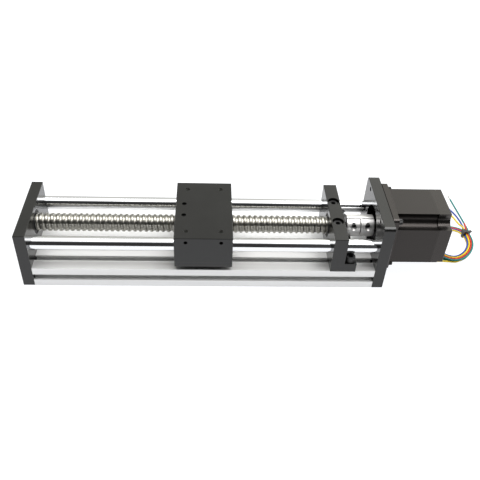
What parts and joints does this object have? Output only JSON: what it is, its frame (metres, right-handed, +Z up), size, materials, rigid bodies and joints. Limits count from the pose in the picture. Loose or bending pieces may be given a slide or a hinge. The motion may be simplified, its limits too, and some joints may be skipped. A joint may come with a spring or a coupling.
{
  "type": "ball screw linear module",
  "caption": "Motor-driven ball screw stage: a black carriage rides on round guide rods over a slotted aluminium base between end plates.",
  "frame": {"origin": "middle of the base extrusion's underside", "axes": "+X along the screw towards the motor, +Y to the back, +Z up"},
  "size_m": [0.4247, 0.1405, 0.0687],
  "materials": {
    "profile_aluminium": "satin extruded, clear anodised",
    "black_anodised": "black anodised, satin",
    "black_steel": "black oxide, satin",
    "chromed_rod": "hard chromed and ground, polished",
    "ground_steel": "ground bearing steel",
    "bearing_steel": "ground bearing steel",
    "bright_aluminium": "turned, bright",
    "motor_black": "black painted, satin",
    "motor_stack": "black painted laminations, satin",
    "copper_windings": "enamelled copper",
    "wiper_plastic": "natural plastic",
    "bronze": "sintered bronze",
    "grommet_rubber": "black rubber",
    "tie_plastic": "black nylon",
    "blue_insulation": "coloured wire insulation",
    "red_insulation": "coloured wire insulation",
    "teal_insulation": "coloured wire insulation",
    "yellow_insulation": "coloured wire insulation"
  },
  "bodies": {
    "base": {"base_extrusion": "profile_aluminium", "left_end_plate": "black_anodised", "motor_plate": "black_anodised", "left_plate_screws": "black_steel", "motor_plate_screws": "black_steel", "guide_rod_front": "chromed_rod", "guide_rod_rear": "chromed_rod", "bearing_block": "black_anodised", "block_top_screws": "black_steel", "block_foot_screws": "black_steel", "end_bearing_outer_ring": "bearing_steel", "block_bearing_left_outer_ring": "bearing_steel", "block_bearing_right_outer_ring": "bearing_steel", "motor_flange": "motor_black", "motor_stator": "motor_stack", "motor_windings": "copper_windings", "motor_rear_cap": "motor_black", "motor_front_bearing": "bearing_steel", "motor_rear_bearing": "bearing_steel", "motor_mount_screws": "black_steel", "motor_through_screws": "black_steel", "wire_grommet": "grommet_rubber", "wire_loop": "red_insulation", "cable_tie": "tie_plastic", "blue_wire_start": "blue_insulation", "red_wire_start": "red_insulation", "teal_wire_start": "teal_insulation", "yellow_wire_start": "yellow_insulation", "blue_wire_end": "blue_insulation", "red_wire_end": "red_insulation", "teal_wire_end": "teal_insulation", "yellow_wire_end": "yellow_insulation"},
    "drive_screw": {"ball_screw": "ground_steel", "lock_nut": "black_steel", "coupling": "bright_aluminium", "coupling_screws": "black_steel", "end_bearing_inner_ring": "bearing_steel", "block_bearing_left_inner_ring": "bearing_steel", "block_bearing_right_inner_ring": "bearing_steel", "motor_shaft": "ground_steel", "motor_rotor": "motor_stack"},
    "carriage": {"carriage_block": "black_anodised", "ball_nut": "ground_steel", "nut_lock_screws": "black_steel", "nut_wiper_left": "wiper_plastic", "nut_wiper_right": "wiper_plastic", "bushing_front_left": "bronze", "bushing_front_right": "bronze", "bushing_rear_left": "bronze", "bushing_rear_right": "bronze"}
  },
  "joints": [
    {"name": "screw_spin", "type": "hinge", "parent": "base", "child": "drive_screw", "pos_m": [0, 0, 0.0405], "axis": [1, 0, 0], "range_deg": [-5904, 8496]},
    {"name": "carriage_slide", "type": "slide", "parent": "base", "child": "carriage", "axis": [1, 0, 0], "range_m": [-0.1181, 0.0821]}
  ],
  "couplings": [
    {"joint": "carriage_slide", "follows": "screw_spin", "m_per_rad": -0.00079577}
  ]
}
